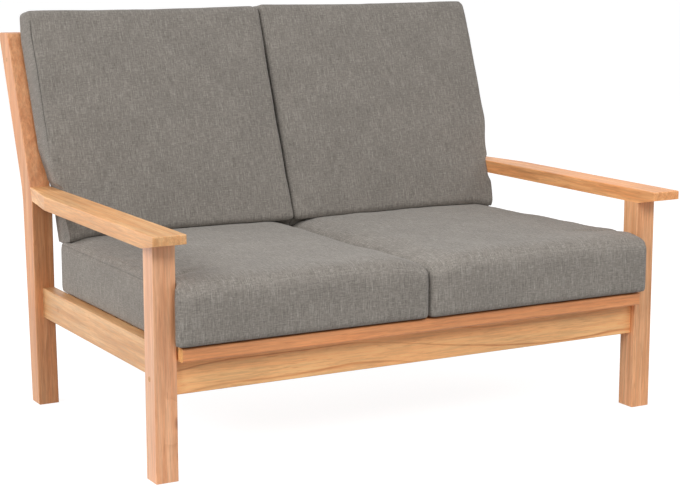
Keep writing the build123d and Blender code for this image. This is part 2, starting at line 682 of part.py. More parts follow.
# Seat cushions: drawn-in sides, a crowned top and rounded rims
cushion_inner = soft_clearance
cushion_outer = leg_inner - cushion_side_clearance
cushion_w = cushion_outer - cushion_inner
cushion_x = (cushion_outer + cushion_inner) / 2
seat_cushion_front = board_front - seat_cushion_overhang
seat_cushion_back = post_front - seat_cushion_rear_gap
seat_cushion_y = (seat_cushion_front + seat_cushion_back) / 2
seat_cushion_bottom = seat_height + soft_clearance
seat_crown_centre_z = seat_cushion_bottom + seat_cushion_t - seat_cushion_crown_radius
for side, sign in SIDES:
    x_left = sign * cushion_x - cushion_w / 2
    x_right = sign * cushion_x + cushion_w / 2
    with BuildPart() as seat_cushion:
        with BuildSketch(Plane.XY.offset(seat_cushion_bottom)) as seat_outline:
            with BuildLine():
                ThreePointArc(
                    (x_left, seat_cushion_front),
                    (sign * cushion_x, seat_cushion_front + cushion_draw_in),
                    (x_right, seat_cushion_front),
                )
                ThreePointArc(
                    (x_right, seat_cushion_front),
                    (x_right - cushion_draw_in, seat_cushion_y),
                    (x_right, seat_cushion_back),
                )
                ThreePointArc(
                    (x_right, seat_cushion_back),
                    (sign * cushion_x, seat_cushion_back - cushion_draw_in),
                    (x_left, seat_cushion_back),
                )
                ThreePointArc(
                    (x_left, seat_cushion_back),
                    (x_left + cushion_draw_in, seat_cushion_y),
                    (x_left, seat_cushion_front),
                )
            make_face()
            fillet(seat_outline.vertices(), seat_cushion_corner_round)
        extrude(amount=seat_cushion_t)
        with Locations((sign * cushion_x, seat_cushion_y, seat_crown_centre_z)):
            Sphere(seat_cushion_crown_radius, rotation=(90, 0, 0), mode=Mode.INTERSECT)
        fillet(seat_cushion.faces().sort_by(Axis.Z)[-1].edges(), seat_cushion_top_rim)
        fillet(seat_cushion.faces().sort_by(Axis.Z)[0].edges(), seat_cushion_bottom_rim)
    seat_cushion.part.label = f"seat_cushion_{side}"
    export_step(seat_cushion.part, f"parts/seat_cushion_{side}.step")

# Back cushions: leaning on the back, with their undersides flat on the seat cushions
contact_y = post_front - back_cushion_contact
contact_run = contact_y - seat_cushion_y
contact_z = seat_crown_centre_z + (seat_cushion_crown_radius**2 - contact_run**2) ** 0.5
back_cushion_bottom = contact_z + 2 * soft_clearance
back_cushion_rear = soft_clearance - back_recess
back_cushion_middle = (back_cushion_top - back_cushion_drop) / 2
back_cushion_outer = cushion_outer + back_cushion_flare
back_cushion_x = (back_cushion_outer + cushion_inner) / 2
flare_start = (arm_t + soft_clearance - back_cushion_rear * lean_sin) / lean_cos
flare_end = flare_start + flare_length
lean_axis = Axis(back_plane.origin, back_plane.z_dir)
for side, sign in SIDES:
    with BuildPart() as back_cushion:
        for level in (back_cushion_rear, back_cushion_t):
            s_bottom = (back_cushion_bottom - arm_underside - level * lean_sin) / lean_cos
            with BuildSketch(back_plane.offset(level)) as back_outline:
                with BuildLine():
                    Polyline(
                        (sign * cushion_inner, back_cushion_top),
                        (sign * cushion_inner, s_bottom),
                        (sign * cushion_outer, s_bottom),
                        (sign * cushion_outer, flare_start),
                        (sign * (back_cushion_outer - cushion_draw_in), flare_end),
                        (sign * back_cushion_outer, back_cushion_top),
                    )
                    ThreePointArc(
                        (sign * back_cushion_outer, back_cushion_top),
                        (sign * back_cushion_x, back_cushion_top - cushion_draw_in),
                        (sign * cushion_inner, back_cushion_top),
                    )
                make_face()
                bends = back_outline.vertices().sort_by_distance((sign * cushion_outer, flare_start))
                fillet(bends[0], flare_round)
                bends = back_outline.vertices().sort_by_distance(
                    (sign * (back_cushion_outer - cushion_draw_in), flare_end)
                )
                fillet(bends[0], flare_round)
                for corner in (
                    (sign * cushion_inner, s_bottom),
                    (sign * cushion_outer, s_bottom),
                    (sign * back_cushion_outer, back_cushion_top),
                    (sign * cushion_inner, back_cushion_top),
                ):
                    fillet(back_outline.vertices().sort_by_distance(corner)[0], back_cushion_corner_round)
        loft(ruled=True)
        crown_plane = back_plane.offset(back_cushion_t - back_cushion_crown_radius)
        crown_centre = crown_plane.from_local_coords((sign * back_cushion_x, back_cushion_middle, 0))
        with Locations(crown_centre):
            Sphere(back_cushion_crown_radius, mode=Mode.INTERSECT)
        rear_plane = back_plane.offset(back_cushion_rear + back_cushion_rear_radius)
        rear_centre = rear_plane.from_local_coords((sign * back_cushion_x, back_cushion_middle, 0))
        with Locations(rear_centre):
            Sphere(back_cushion_rear_radius, mode=Mode.INTERSECT)
        fillet(back_cushion.faces().sort_by(lean_axis)[-1].edges(), back_cushion_front_rim)
        fillet(back_cushion.faces().sort_by(lean_axis)[0].edges(), back_cushion_rear_rim)
    back_cushion.part.label = f"back_cushion_{side}"
    export_step(back_cushion.part, f"parts/back_cushion_{side}.step")
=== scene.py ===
"""Patio loveseat: cushions, wood and fabric finishes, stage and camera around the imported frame."""

import math

import bmesh
import bpy
import numpy as np
from mathutils import Matrix, Vector
from mathutils.bvhtree import BVHTree


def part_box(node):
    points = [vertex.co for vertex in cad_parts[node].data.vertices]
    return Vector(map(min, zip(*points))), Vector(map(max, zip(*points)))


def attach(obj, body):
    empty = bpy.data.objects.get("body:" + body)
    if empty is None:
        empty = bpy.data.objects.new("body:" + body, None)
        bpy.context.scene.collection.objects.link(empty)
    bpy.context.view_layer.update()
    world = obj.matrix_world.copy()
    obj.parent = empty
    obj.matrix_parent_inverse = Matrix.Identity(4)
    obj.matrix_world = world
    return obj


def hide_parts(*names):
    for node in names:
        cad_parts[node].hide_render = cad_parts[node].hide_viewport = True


bl_info = {
    "name": "Patio Loveseat",
    "version": (1, 0, 0),
    "blender": (4, 5, 0),
    "location": "3D View > Sidebar > Loveseat",
    "description": "Cushions, finishes and stage for a hardwood patio loveseat",
    "category": "Object",
}

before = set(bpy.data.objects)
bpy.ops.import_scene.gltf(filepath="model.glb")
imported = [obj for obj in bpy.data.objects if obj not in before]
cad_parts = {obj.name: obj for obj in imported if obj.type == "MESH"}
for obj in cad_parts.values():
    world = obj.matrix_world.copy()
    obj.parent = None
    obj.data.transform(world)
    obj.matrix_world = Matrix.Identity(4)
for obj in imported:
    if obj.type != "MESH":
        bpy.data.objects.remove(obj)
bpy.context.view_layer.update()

# Measures of the frame, in metres. The inner side of a piece is the one towards the loveseat's middle.
LEAN = math.radians(20.5)
LEG_TO_POST = 0.731
LEG_LOW, LEG_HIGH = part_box("front_leg_left")
ARM_LOW, ARM_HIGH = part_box("arm_left")
SEAT_LOW, SEAT_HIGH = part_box("seat_cushion_left")
BACK_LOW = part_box("back_cushion_left")[0]
LEG_FRONT, LEG_BACK, LEG_INNER = LEG_LOW.y, LEG_HIGH.y, -LEG_HIGH.x

# The leaning face of the posts: X runs across, Y up the slope and Z forward, out of it.
BACK_ORIGIN = Vector((0, LEG_FRONT + LEG_TO_POST, ARM_LOW.z))
BACK_TURN = Matrix(((1, 0, 0), (0, math.sin(LEAN), -math.cos(LEAN)), (0, math.cos(LEAN), math.sin(LEAN))))
BACK_FORWARD = np.array(BACK_TURN.col[2])

CLEAR = 0.0006
SEAT_SEAM = 0.043
BACK_SEAM_DEPTH = 0.011


class LoveseatWood(bpy.types.PropertyGroup):
    light: bpy.props.FloatVectorProperty(
        name="Oiled wood", description="Colour between the growth lines", subtype="COLOR",
        size=4, min=0, max=1, default=(0.70, 0.315, 0.145, 1))
    pale: bpy.props.FloatVectorProperty(
        name="Pale wood", description="Colour of the pale streaks", subtype="COLOR",
        size=4, min=0, max=1, default=(0.80, 0.42, 0.22, 1))
    dark: bpy.props.FloatVectorProperty(
        name="Growth lines", description="Colour of the growth lines", subtype="COLOR",
        size=4, min=0, max=1, default=(0.46, 0.165, 0.06, 1))


class LoveseatFabric(bpy.types.PropertyGroup):
    ground: bpy.props.FloatVectorProperty(
        name="Ground", description="Middle colour of the woven cover", subtype="COLOR",
        size=4, min=0, max=1, default=(0.240, 0.217, 0.192, 1))
    fleck_light: bpy.props.FloatVectorProperty(
        name="Light yarn", description="Colour of the lighter yarn", subtype="COLOR",
        size=4, min=0, max=1, default=(0.40, 0.375, 0.335, 1))
    fleck_dark: bpy.props.FloatVectorProperty(
        name="Dark yarn", description="Colour of the darker yarn", subtype="COLOR",
        size=4, min=0, max=1, default=(0.125, 0.114, 0.098, 1))
    yarn: bpy.props.FloatProperty(
        name="Yarn pitch", description="Distance between yarns of the weave", subtype="DISTANCE",
        unit="LENGTH", default=0.0012, min=0.0005, max=0.004)
    swell: bpy.props.FloatProperty(
        name="Swell", description="Furthest that the filling pushes the cover out", subtype="DISTANCE",
        unit="LENGTH", default=0.005, min=0.0, max=0.03)
    cover_mesh: bpy.props.FloatProperty(
        name="Cover mesh", description="Size of the mesh of the cover", subtype="DISTANCE",
        unit="LENGTH", default=0.0075, min=0.004, max=0.02)


class LoveseatCushions(bpy.types.PropertyGroup):
    seat_front_rim: bpy.props.FloatProperty(
        name="Seat front rim", description="Rounding of the seat cushions' top front edge", subtype="DISTANCE",
        unit="LENGTH", default=0.036, min=0.01, max=0.06)
    seat_side_rim: bpy.props.FloatProperty(
        name="Seat side rim", description="Rounding of the seat cushions' other top edges", subtype="DISTANCE",
        unit="LENGTH", default=0.016, min=0.005, max=0.05)
    seat_inner_rim: bpy.props.FloatProperty(
        name="Seat inner rim", description="Rounding of the seat cushions' top edges where they meet",
        subtype="DISTANCE", unit="LENGTH", default=0.025, min=0.005, max=0.05)
    seat_inner_fall: bpy.props.FloatProperty(
        name="Seat inner fall", description="How far the seat cushions' tops fall to the edges where they meet",
        subtype="DISTANCE", unit="LENGTH", default=0.013, min=0.0, max=0.03)
    seat_bottom_rim: bpy.props.FloatProperty(
        name="Seat bottom rim", description="Rounding of the seat cushions' bottom edges", subtype="DISTANCE",
        unit="LENGTH", default=0.007, min=0.004, max=0.04)
    seat_corner: bpy.props.FloatProperty(
        name="Seat corner", description="Rounding of the seat cushions' upright corners", subtype="DISTANCE",
        unit="LENGTH", default=0.022, min=0.01, max=0.06)
    seat_crown: bpy.props.FloatProperty(
        name="Seat crown", description="Height of the seat cushions' middle above their side edges",
        subtype="DISTANCE", unit="LENGTH", default=0.010, min=0.0, max=0.03)
    seat_bulge: bpy.props.FloatProperty(
        name="Seat bulge", description="How far the seat cushions swell over the side rails", subtype="DISTANCE",
        unit="LENGTH", default=0.014, min=0.0, max=0.03)
    back_outer_rim: bpy.props.FloatProperty(
        name="Back outer rim", description="Rounding of the back cushions' front edges on the outer sides",
        subtype="DISTANCE", unit="LENGTH", default=0.012, min=0.005, max=0.05)
    back_inner_rim: bpy.props.FloatProperty(
        name="Back inner rim", description="Rounding of the back cushions' front edges where they meet",
        subtype="DISTANCE", unit="LENGTH", default=0.009, min=0.004, max=0.05)
    back_rear_rim: bpy.props.FloatProperty(
        name="Back rear rim", description="Rounding of the back cushions' rear edges", subtype="DISTANCE",
        unit="LENGTH", default=0.018, min=0.005, max=0.04)
    back_corner: bpy.props.FloatProperty(
        name="Back corner", description="Rounding of the back cushions' upper outer corners", subtype="DISTANCE",
        unit="LENGTH", default=0.011, min=0.01, max=0.06)
    back_crown: bpy.props.FloatProperty(
        name="Back crown", description="Height of the back cushions' middle in front of their edges",
        subtype="DISTANCE", unit="LENGTH", default=0.006, min=0.0, max=0.03)
    draw_in: bpy.props.FloatProperty(
        name="Draw in", description="How far the sides pull in between the corners", subtype="DISTANCE",
        unit="LENGTH", default=0.002, min=0.0, max=0.01)


class LoveseatStage(bpy.types.PropertyGroup):
    camera_place: bpy.props.FloatVectorProperty(
        name="Camera", description="Where the camera stands", subtype="TRANSLATION",
        unit="LENGTH", size=3, default=(-1.9998, LEG_FRONT - 3.2012, 1.1142))
    camera_turn: bpy.props.FloatProperty(
        name="Turn", description="Camera's turn about the upright axis", subtype="ANGLE", default=-0.5092)
    camera_dip: bpy.props.FloatProperty(
        name="Dip", description="How far the camera looks down", subtype="ANGLE", default=0.1726)
    camera_lens: bpy.props.FloatProperty(
        name="Lens", description="Focal length", subtype="DISTANCE_CAMERA", unit="CAMERA",
        default=91.33, min=20, max=200)
    key_power: bpy.props.FloatProperty(
        name="Key light", description="Power of the large soft light on the left", unit="POWER",
        default=146, min=0, max=2000)
    rim_power: bpy.props.FloatProperty(
        name="Rim light", description="Power of the soft light behind on the left", unit="POWER",
        default=104, min=0, max=2000)
    front_power: bpy.props.FloatProperty(
        name="Front light", description="Power of the smaller light in front", unit="POWER",
        default=90, min=0, max=2000)
    right_power: bpy.props.FloatProperty(
        name="Right light", description="Power of the soft light on the right", unit="POWER",
        default=42, min=0, max=2000)
    top_power: bpy.props.FloatProperty(
        name="Top light", description="Power of the soft light overhead", unit="POWER",
        default=34, min=0, max=2000)
    sky: bpy.props.FloatProperty(
        name="Sky", description="Strength of the even light from all around", subtype="FACTOR",
        default=0.31, min=0, max=2)
    floor_size: bpy.props.FloatProperty(
        name="Floor", description="Width of the floor", subtype="DISTANCE", unit="LENGTH",
        default=60, min=2, max=200)


def new_material(name):
    """An empty node material with its shader."""
    material = bpy.data.materials.new(name)
    material.use_nodes = True
    tree = material.node_tree
    tree.nodes.clear()
    out = tree.nodes.new("ShaderNodeOutputMaterial")
    shader = tree.nodes.new("ShaderNodeBsdfPrincipled")
    tree.links.new(shader.outputs["BSDF"], out.inputs["Surface"])
    return material, tree, shader


def feed(tree, socket, value):
    """Joins a node's output to a socket, or sets the socket's value."""
    if isinstance(value, bpy.types.NodeSocket):
        tree.links.new(value, socket)
    else:
        socket.default_value = value


def add(tree, kind, settings=None, inputs=None):
    """A node with its settings, and with values or joined outputs on its sockets."""
    node = tree.nodes.new(kind)
    for key, value in (settings or {}).items():
        setattr(node, key, value)
    for key, value in (inputs or {}).items():
        feed(tree, node.inputs[key], value)
    return node


def calc(tree, operation, a, b=0.0):
    """The outcome of one sum."""
    return add(tree, "ShaderNodeMath", {"operation": operation}, {0: a, 1: b}).outputs[0]


def blend(tree, share, a, b, how="MIX"):
    """Two colours mixed by a share."""
    node = add(tree, "ShaderNodeMix", {"data_type": "RGBA", "blend_type": how}, {0: share, 6: a, 7: b})
    return node.outputs[2]


def ramp(tree, value, low, high, to_low=0.0, to_high=1.0):
    """A value carried smoothly from one range to another."""
    return add(tree, "ShaderNodeMapRange", {"interpolation_type": "SMOOTHSTEP"},
               {0: value, 1: low, 2: high, 3: to_low, 4: to_high}).outputs[0]


def noise(tree, vector, scale=1.0, detail=2.0, rough=0.5):
    """Cloudy noise, as a number."""
    return add(tree, "ShaderNodeTexNoise", None,
               {"Vector": vector, "Scale": scale, "Detail": detail, "Roughness": rough}).outputs[0]


def stretched(tree, vector, stretch, turn=(0, 0, 0), shift=(0, 0, 0)):
    """A place scaled, turned and moved."""
    return add(tree, "ShaderNodeMapping", None,
               {"Vector": vector, "Scale": stretch, "Rotation": turn, "Location": shift}).outputs[0]


def streaky(tree, grain, along, across, detail=2.0, rough=0.5, shift=(0, 0, 0)):
    """Noise drawn out along the grain, by its changes in a metre along and across it."""
    return noise(tree, stretched(tree, grain, (along, across, across), shift=shift), 1.0, detail, rough)


def object_place(tree, turn=(0, 0, 0), shift=(0, 0, 0)):
    """The place on the object, turned and moved."""
    return stretched(tree, tree.nodes.new("ShaderNodeTexCoord").outputs["Object"], (1, 1, 1), turn, shift)


def shaded(tree, colour, shade):
    """A colour made darker or lighter by a number."""
    grey = add(tree, "ShaderNodeCombineColor", None, {0: shade, 1: shade, 2: shade}).outputs[0]
    return blend(tree, 1.0, colour, grey, "MULTIPLY")


def tinted(colour, tint):
    """A colour times a tint, held at one."""
    return tuple(min(1.0, c * t) for c, t in zip(colour[:3], tint)) + (1,)


def wood(name, settings, turn, shift, pitch, lines, sway, thin, tint=(1, 1, 1), knot=None, calm=1.0, ends=None):
    """Oiled hardwood whose grain runs along the X axis once its place has been turned.

    The growth lines stand a pitch apart, with their strength in lines, their drift in sway and the clear share
    of the pitch in thin. calm scales the streaks and bands. ends is the colour laid on faces across the grain:
    partly the end grain's own colour, partly a painted highlight.
    """
    slant, ripple_height, late_wood = 0.55, 0.003, 0.95
    knot_core, knot_reach, knot_bend, knot_squash = 0.011, 0.045, 0.035, 0.55
    material, tree, shader = new_material(name)
    light, pale, dark = (tinted(c, tint) for c in (settings.light, settings.pale, settings.dark))
    grain = object_place(tree, turn, shift)
    split = add(tree, "ShaderNodeSeparateXYZ", None, {0: grain})
    across = calc(tree, "ADD", split.outputs[1], calc(tree, "MULTIPLY", split.outputs[2], slant))
    drift = streaky(tree, grain, 0.8, 3.6)
    across = calc(tree, "ADD", across, calc(tree, "MULTIPLY", drift, sway))
    ripple = streaky(tree, grain, 9.0, 70.0)
    across = calc(tree, "ADD", across, calc(tree, "MULTIPLY", ripple, ripple_height))
    if knot:
        place = object_place(tree, (0, 0, 0), tuple(-c for c in knot))
        away = add(tree, "ShaderNodeVectorMath", {"operation": "LENGTH"},
                   {0: stretched(tree, place, (1.0, 1.0, knot_squash))}).outputs["Value"]
        across = calc(tree, "ADD", across, ramp(tree, away, 0.0, knot_reach, knot_bend, 0.0))
    saw = calc(tree, "FRACT", calc(tree, "DIVIDE", across, pitch))
    line = calc(tree, "MULTIPLY", ramp(tree, saw, thin, late_wood), ramp(tree, saw, late_wood, 1.0, 1.0, 0.0))
    patchy = ramp(tree, streaky(tree, grain, 1.8, 16.0), 0.36, 0.66, 0.15, 1.0)
    line = calc(tree, "MULTIPLY", calc(tree, "MULTIPLY", line, patchy), lines)
    fibres = streaky(tree, grain, 15.0, 260.0, 3.0, 0.65)
    streaks = streaky(tree, grain, 3.4, 75.0, 3.0, 0.65)
    bands = streaky(tree, grain, 1.6, 26.0, shift=(4.0, 1.0, 2.0))
    clouds = streaky(tree, grain, 4.0, 12.0)
    colour = blend(tree, ramp(tree, streaks, 0.38, 0.66, 0.5 - calm / 2, 0.5 + calm / 2), light, pale)
    colour = blend(tree, ramp(tree, bands, 0.56, 0.72, 0.0, 0.28 * calm), colour, dark)
    colour = blend(tree, line, colour, dark)
    fibre_shade = ramp(tree, fibres, 0.32, 0.68, 0.87, 1.09)
    shade = calc(tree, "MULTIPLY", fibre_shade, ramp(tree, clouds, 0.32, 0.68, 0.91, 1.07))
    # Faces across the grain take the ends colour: partly end-grain colour, partly a painted highlight.
    if ends:
        normal = tree.nodes.new("ShaderNodeTexCoord").outputs["Normal"]
        end_face_share = calc(tree, "ABSOLUTE", add(tree, "ShaderNodeSeparateXYZ", None, {0: normal}).outputs[0])
        colour = blend(tree, ramp(tree, end_face_share, 0.7, 0.9, 0.0, 0.9), colour, ends)
    colour = shaded(tree, colour, shade)
    pores = ramp(tree, streaky(tree, grain, 30.0, 560.0, 1.0), 0.62, 0.72, 0.0, 0.42)
    colour = blend(tree, pores, colour, dark)
    if knot:
        colour = blend(tree, ramp(tree, away, 0.002, knot_core, 0.75, 0.0), colour, tinted(dark, (0.55, 0.5, 0.45)))
    feed(tree, shader.inputs["Base Color"], colour)
    feed(tree, shader.inputs["Roughness"], ramp(tree, fibres, 0.3, 0.7, 0.46, 0.60))
    shader.inputs["Specular IOR Level"].default_value = 0.35
    shader.inputs["Coat Weight"].default_value = 0.7 if knot else 0.3
    shader.inputs["Coat Roughness"].default_value = 0.34
    height = calc(tree, "SUBTRACT", calc(tree, "MULTIPLY", fibres, 0.6), pores)
    bump = add(tree, "ShaderNodeBump", None, {"Height": height, "Strength": 0.22, "Distance": 0.0006})
    feed(tree, shader.inputs["Normal"], bump.outputs[0])
    return material


def woven(name, fabric, turn, shift, seam_level, seam_painted_shade, painted_light_tone):
    """A heathered plain weave on the cushion's own map; the sewn line round its sides is painted shade, and its
    brightness scale painted light.
    """
    seam_core, seam_edge = 0.0006, 0.0021
    warp_share, weft_share = 0.46, 0.30
    material, tree, shader = new_material(name)
    cloth = tree.nodes.new("ShaderNodeUVMap")
    cloth.uv_map = "weave"
    place = cloth.outputs[0]
    warp = noise(tree, stretched(tree, place, (400.0, 27.0, 1.0)), 1.0, 2.0, 0.7)
    weft = noise(tree, stretched(tree, place, (40.0, 420.0, 1.0), shift=(3.1, 7.7, 2.0)), 1.0, 2.0, 0.7)
    fine_warp = noise(tree, stretched(tree, place, (800.0, 110.0, 1.0), shift=(1.3, 0.4, 5.0)), 1.0, 1.0)
    fine_weft = noise(tree, stretched(tree, place, (110.0, 800.0, 1.0), shift=(6.1, 2.4, 9.0)), 1.0, 1.0)
    # Each cushion's colours are scaled lighter or darker: painted light for how brightly that cushion is lit.
    colour, light, dark = (tinted(c, (painted_light_tone,) * 3) for c in (fabric.ground, fabric.fleck_light, fabric.fleck_dark))
    for yarn, share in ((warp, warp_share), (weft, weft_share)):
        colour = blend(tree, ramp(tree, yarn, 0.52, 0.68, 0.0, share), colour, light)
        colour = blend(tree, ramp(tree, yarn, 0.48, 0.32, 0.0, share), colour, dark)
    yarns = calc(tree, "ADD", warp, weft)
    fine = calc(tree, "ADD", fine_warp, fine_weft)
    shade = ramp(tree, fine, 0.72, 1.28, 0.82, 1.18)
    clouds = noise(tree, place, 9.0, 2.0)
    shade = calc(tree, "MULTIPLY", shade, ramp(tree, clouds, 0.3, 0.7, 0.955, 1.045))
    split = add(tree, "ShaderNodeSeparateXYZ", None, {0: object_place(tree, turn, shift)})
    off = calc(tree, "ABSOLUTE", calc(tree, "SUBTRACT", split.outputs[2], seam_level))
    seam = ramp(tree, off, seam_core, seam_edge, 1.0, 0.0)
    facing = tree.nodes.new("ShaderNodeAttribute")
    facing.attribute_name = "boxing"
    seam = calc(tree, "MULTIPLY", seam, facing.outputs["Fac"])
    # The seam line is darkened in colour: painted shade in the crease of the seam.
    shade = calc(tree, "MULTIPLY", shade, ramp(tree, seam, 0.0, 1.0, 1.0, seam_painted_shade))
    feed(tree, shader.inputs["Base Color"], shaded(tree, colour, shade))
    shader.inputs["Roughness"].default_value = 0.92
    shader.inputs["Specular IOR Level"].default_value = 0.15
    shader.inputs["Sheen Weight"].default_value = 0.15
    shader.inputs["Sheen Roughness"].default_value = 0.5
    flat = add(tree, "ShaderNodeSeparateXYZ", None, {0: place})
    pitch = 2 * math.pi / fabric.yarn
    over = calc(tree, "SINE", calc(tree, "MULTIPLY", flat.outputs[0], pitch))
    under = calc(tree, "SINE", calc(tree, "MULTIPLY", flat.outputs[1], pitch))
    weave = calc(tree, "MULTIPLY", calc(tree, "MULTIPLY", over, under), 0.3)
    height = calc(tree, "ADD", calc(tree, "ADD", weave, yarns), calc(tree, "MULTIPLY", fine, 0.5))
    height = calc(tree, "SUBTRACT", height, calc(tree, "MULTIPLY", seam, 2.0))
    bump = add(tree, "ShaderNodeBump", None, {"Height": height, "Strength": 0.35, "Distance": 0.0007})
    feed(tree, shader.inputs["Normal"], bump.outputs[0])
    return material


def plain(name, colour, rough, grit, spread, metallic=0.0):
    """A small part's finish, with a fine grit in its colour, gloss and surface."""
    material, tree, shader = new_material(name)
    grain = noise(tree, object_place(tree), grit, 3.0, 0.6)
    deep = tinted(colour, (1 - 2 * spread,) * 3)
    bright = tinted(colour, (1 + 2 * spread,) * 3)
    feed(tree, shader.inputs["Base Color"], blend(tree, ramp(tree, grain, 0.3, 0.7), deep, bright))
    feed(tree, shader.inputs["Roughness"], ramp(tree, grain, 0.3, 0.7, rough - 0.06, rough + 0.08))
    shader.inputs["Metallic"].default_value = metallic
    bump = add(tree, "ShaderNodeBump", None, {"Height": grain, "Strength": 0.15, "Distance": 0.0002})
    feed(tree, shader.inputs["Normal"], bump.outputs[0])
    return material


def dress(node, material):
    """Puts a finish on a CAD node."""
    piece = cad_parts[node]
    piece.data.materials.clear()
    piece.data.materials.append(material)


def points_of(mesh, what="vertices", key="co"):
    """The places or normals of a mesh's vertices or faces, one row for each."""
    items = getattr(mesh, what)
    values = np.empty(len(items) * 3)
    items.foreach_get(key, values)
    return values.reshape(-1, 3)


def set_points(mesh, points):
    """Moves a mesh's vertices."""
    mesh.vertices.foreach_set("co", np.ascontiguousarray(points).ravel())
    mesh.update()


def smooth_step(value, low, high):
    """Nought below one value and one above another, with a smooth run between them."""
    share = np.clip((value - low) / (high - low), 0, 1)
    return share * share * (3 - 2 * share)


def apply_modifiers(piece):
    """Keeps a piece's shape as its modifiers give it, and takes them off."""
    graph = bpy.context.evaluated_depsgraph_get()
    mesh = bpy.data.meshes.new_from_object(piece.evaluated_get(graph))
    old = piece.data
    piece.modifiers.clear()
    piece.data = mesh
    bpy.data.meshes.remove(old)


def block(name, size, voxel):
    """A closed box cover, meshed evenly and centred on the origin, with its thickness along Z."""
    shape = bmesh.new()
    bmesh.ops.create_cube(shape, size=1.0)
    bmesh.ops.scale(shape, vec=size, verts=shape.verts)
    bmesh.ops.bevel(shape, geom=shape.edges[:], offset=0.006, segments=2, profile=0.5,
                    affect="EDGES", clamp_overlap=True, material=-1)
    mesh = bpy.data.meshes.new(name)
    shape.to_mesh(mesh)
    shape.free()
    piece = bpy.data.objects.new(name, mesh)
    bpy.context.scene.collection.objects.link(piece)
    modifier = piece.modifiers.new("cover_mesh", "REMESH")
    modifier.mode = "VOXEL"
    modifier.voxel_size = voxel
    apply_modifiers(piece)
    return piece


def round_off(points, half, corners, rims):
    """Rounds a box's upright corners, then its top and bottom edges, each side with its own rounding.

    corners has a row for the left and one for the right, each with the near and the far corner. rims has a row
    for the bottom and one for the top, each with the left, right, near and far edge.
    """
    out = points.copy()
    sign = np.where(points[:, :2] < 0, -1, 1)
    right, far = (sign[:, 0] > 0).astype(int), (sign[:, 1] > 0).astype(int)
    corner = corners[right, far]
    reach = np.abs(points[:, :2]) - (half[:2] - corner[:, None])
    arc = (reach > 0).all(1)
    length = np.maximum(np.hypot(reach[:, 0], reach[:, 1]), 1e-9)
    reach = np.where(arc[:, None], reach * (reach.max(1) / length)[:, None], reach)
    flat = corner[:, None] - reach
    direction = np.where(arc[:, None], reach / np.maximum(np.hypot(reach[:, 0], reach[:, 1]), 1e-9)[:, None],
                         np.eye(2)[flat.argmin(1)])
    inward = np.where(arc, corner - np.hypot(reach[:, 0], reach[:, 1]), flat.min(1))
    upper = (points[:, 2] > 0).astype(int)
    rim = direction[:, 0] ** 2 * rims[upper, right] + direction[:, 1] ** 2 * rims[upper, 2 + far]
    drop = half[2] - np.abs(points[:, 2])
    a, b = rim - inward, rim - drop
    edge = (a > 0) & (b > 0)
    scale = np.where(edge, np.maximum(a, b) / np.maximum(np.hypot(a, b), 1e-9), 1)
    move = np.where(edge, a * (1 - scale), 0)
    out[:, :2] = sign * (reach + half[:2] - corner[:, None] - direction * move[:, None])
    out[:, 2] -= np.sign(points[:, 2]) * np.where(edge, b * (1 - scale), 0)
    return out


def crown(points, half, top, under, draw_in, power=3.0):
    """Domes the faces, and pulls the sides in between the corners."""
    u, v = (np.clip(np.abs(points[:, i]) / half[i], 0, 1) for i in (0, 1))
    dome = (1 - u**power) * (1 - v**power)
    share = np.clip(points[:, 2] / half[2], -1, 1)
    out = points.copy()
    out[:, 2] += np.where(share > 0, top * share, under * share) * dome
    out[:, 0] -= np.sign(points[:, 0]) * draw_in * u**4 * (1 - v**2)
    out[:, 1] -= np.sign(points[:, 1]) * draw_in * v**4 * (1 - u**2)
    return out


def soften(piece):
    """Evens out the cover a little."""
    shape = bmesh.new()
    shape.from_mesh(piece.data)
    bmesh.ops.smooth_vert(shape, verts=shape.verts, factor=0.5, use_axis_x=True, use_axis_y=True, use_axis_z=True)
    shape.to_mesh(piece.data)
    shape.free()


def fill(piece, swell, pressure=4.0, frames=20):
    """Lets the filling press a closed cover out for a moment, and keeps the shape it takes."""
    scene = bpy.context.scene
    start = points_of(piece.data)
    cloth = piece.modifiers.new("filling", "CLOTH")
    cloth.settings.use_pressure = True
    cloth.settings.uniform_pressure_force = pressure
    cloth.settings.effector_weights.gravity = 0
    cloth.settings.quality = 4
    cloth.settings.tension_stiffness = 15
    cloth.settings.compression_stiffness = 15
    cloth.settings.bending_stiffness = 2.0
    cloth.collision_settings.use_collision = False
    cloth.collision_settings.use_self_collision = False
    for moment in range(1, frames + 1):
        scene.frame_set(moment)
    graph = bpy.context.evaluated_depsgraph_get()
    move = points_of(piece.evaluated_get(graph).data) - start
    piece.modifiers.remove(cloth)
    scene.frame_set(1)
    length = np.linalg.norm(move, axis=1)
    most = np.percentile(length, 99)
    move *= min(1, swell / max(most, 1e-9))
    length = np.linalg.norm(move, axis=1, keepdims=True)
    move *= np.minimum(1, swell / np.maximum(length, 1e-9))
    set_points(piece.data, start + move)


def relief(points, seed, height, wave):
    """A faint unevenness in the filling, the same on every run."""
    chance = np.random.RandomState(seed)
    total = np.zeros(len(points))
    for _ in range(10):
        direction = chance.normal(size=3)
        direction /= np.linalg.norm(direction)
        pace = 2 * np.pi / (wave * chance.uniform(0.7, 1.6))
        total += np.sin(points @ direction * pace + chance.uniform(0, 6.28))
    return total * height / 3


def fit_to(piece, low, high):
    """Brings a cushion to its outer size, which the filling has changed a little."""
    points = points_of(piece.data)
    now_low, now_high = points.min(0), points.max(0)
    low, high = np.array(low), np.array(high)
    set_points(piece.data, low + (points - now_low) * (high - low) / (now_high - now_low))


def refine(piece):
    """One subdivision of the cover, smooth shaded."""
    modifier = piece.modifiers.new("finer", "SUBSURF")
    modifier.levels = modifier.render_levels = 1
    apply_modifiers(piece)
    piece.data.polygons.foreach_set("use_smooth", [True] * len(piece.data.polygons))


